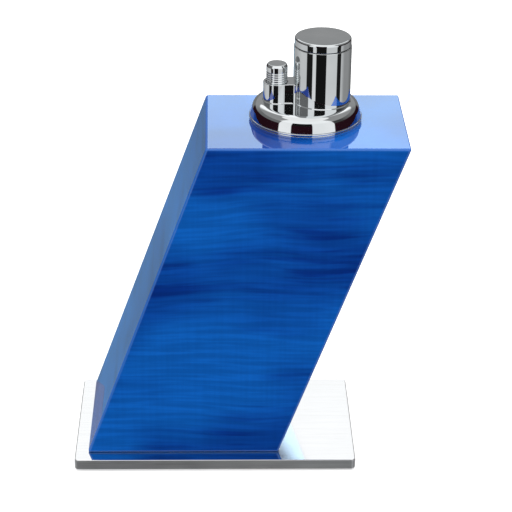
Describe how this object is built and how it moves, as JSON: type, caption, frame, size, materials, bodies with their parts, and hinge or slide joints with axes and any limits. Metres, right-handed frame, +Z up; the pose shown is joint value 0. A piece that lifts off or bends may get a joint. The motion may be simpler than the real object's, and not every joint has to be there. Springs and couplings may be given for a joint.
{
  "type": "table lighter",
  "caption": "Push-button table lighter: a leaning lacquered wood block on a polished steel plate, with a chrome lighter unit that lifts out of the block's top for refilling.",
  "frame": {"origin": "middle of the felt pad's underside, which stands on the table", "axes": "+Z up, +X towards the side that the block leans to, -Y towards the front, with the lid's hinge at the back (+Y)"},
  "size_m": [0.1266, 0.062, 0.1676],
  "materials": {
    "sycamore": "figured sycamore, stained blue, under a thick high-gloss clear lacquer",
    "polished_steel": "stainless steel, mirror polished on top, edges finely brushed",
    "chrome": "zinc casting, bright chrome plated",
    "brass": "turned brass",
    "zinc_plated_steel": "pressed steel, zinc plated",
    "spring_steel": "bright stainless wire and tube",
    "black_nylon": "moulded nylon, black",
    "tank_nylon": "moulded nylon, natural",
    "nitrile_rubber": "moulded rubber, matt",
    "ceramic": "pressed alumina, fired",
    "felt": "pressed wool felt"
  },
  "bodies": {
    "base": {"felt_pad": "felt", "base_plate": "polished_steel", "wood_block": "sycamore", "liner_cup": "brass", "base_screw_1": "zinc_plated_steel", "base_screw_2": "zinc_plated_steel", "base_screw_3": "zinc_plated_steel", "base_screw_4": "zinc_plated_steel", "threaded_insert_1": "brass", "threaded_insert_2": "brass", "threaded_insert_3": "brass", "threaded_insert_4": "brass"},
    "unit": {"trim_ring": "chrome", "flange": "chrome", "tower_housing": "chrome", "lid_hinge_pin": "spring_steel", "piezo_body": "black_nylon", "piezo_spring": "spring_steel", "lever_pin": "spring_steel", "valve_spring": "spring_steel", "valve_body": "brass", "valve_seal": "nitrile_rubber", "burner_mixer": "brass", "burner_tube": "spring_steel", "flame_spreader": "brass", "burner_guard": "zinc_plated_steel", "electrode_insulator": "ceramic", "electrode": "spring_steel", "spark_lead": "black_nylon", "chassis": "zinc_plated_steel", "tank_body": "tank_nylon", "tank_cover": "tank_nylon", "retaining_ring": "nitrile_rubber", "filler_valve_body": "brass", "filler_spring": "spring_steel", "chassis_screw_1": "zinc_plated_steel", "chassis_screw_2": "zinc_plated_steel", "chassis_screw_3": "zinc_plated_steel", "chassis_screw_4": "zinc_plated_steel"},
    "button": {"push_button": "chrome", "button_stem": "black_nylon", "piezo_plunger": "ceramic"},
    "lever": {"gas_lever": "zinc_plated_steel"},
    "lid_rod": {"lid_rod": "zinc_plated_steel"},
    "gas_valve": {"valve_stem": "brass"},
    "lid": {"lid": "chrome"},
    "filler_stem": {"filler_valve_stem": "brass"},
    "flame_adjuster": {"flame_adjuster": "brass"}
  },
  "joints": [
    {"name": "unit_lift", "type": "slide", "parent": "base", "child": "unit", "axis": [0, 0, 1], "range_m": [0, 0.045]},
    {"name": "button_press", "type": "slide", "parent": "unit", "child": "button", "axis": [0, 0, -1], "range_m": [0, 0.0035], "stiffness_N_per_m": 1200, "springref_m": -0.003, "deforming": ["piezo_spring"]},
    {"name": "lever_rock", "type": "hinge", "parent": "unit", "child": "lever", "pos_m": [0.0364, 0.0043, 0.1369], "axis": [0, -1, 0], "range_deg": [0, 22]},
    {"name": "rod_lift", "type": "slide", "parent": "unit", "child": "lid_rod", "axis": [0, 0, 1], "range_m": [0, 0.0026]},
    {"name": "valve_lift", "type": "slide", "parent": "unit", "child": "gas_valve", "axis": [0, 0, 1], "range_m": [0, 0.00135], "deforming": ["valve_spring"]},
    {"name": "lid_swing", "type": "hinge", "parent": "unit", "child": "lid", "pos_m": [0.0399, 0.01485, 0.1644], "axis": [-1, 0, 0], "range_deg": [0, 90]},
    {"name": "filler_press", "type": "slide", "parent": "unit", "child": "filler_stem", "axis": [0, 0, 1], "range_m": [0, 0.0012], "stiffness_N_per_m": 500, "springref_m": -0.002, "deforming": ["filler_spring"]},
    {"name": "flame_adjust", "type": "hinge", "parent": "unit", "child": "flame_adjuster", "pos_m": [0.0399, 0.0043, 0.0988], "axis": [0, 0, -1], "range_deg": [-90, 90]}
  ],
  "couplings": [
    {"joint": "lever_rock", "follows": "button_press", "rad_per_m": 108.95},
    {"joint": "rod_lift", "follows": "button_press", "ratio": 0.72304},
    {"joint": "valve_lift", "follows": "button_press", "ratio": 0.377},
    {"joint": "lid_swing", "follows": "button_press", "rad_per_m": 448.71}
  ]
}
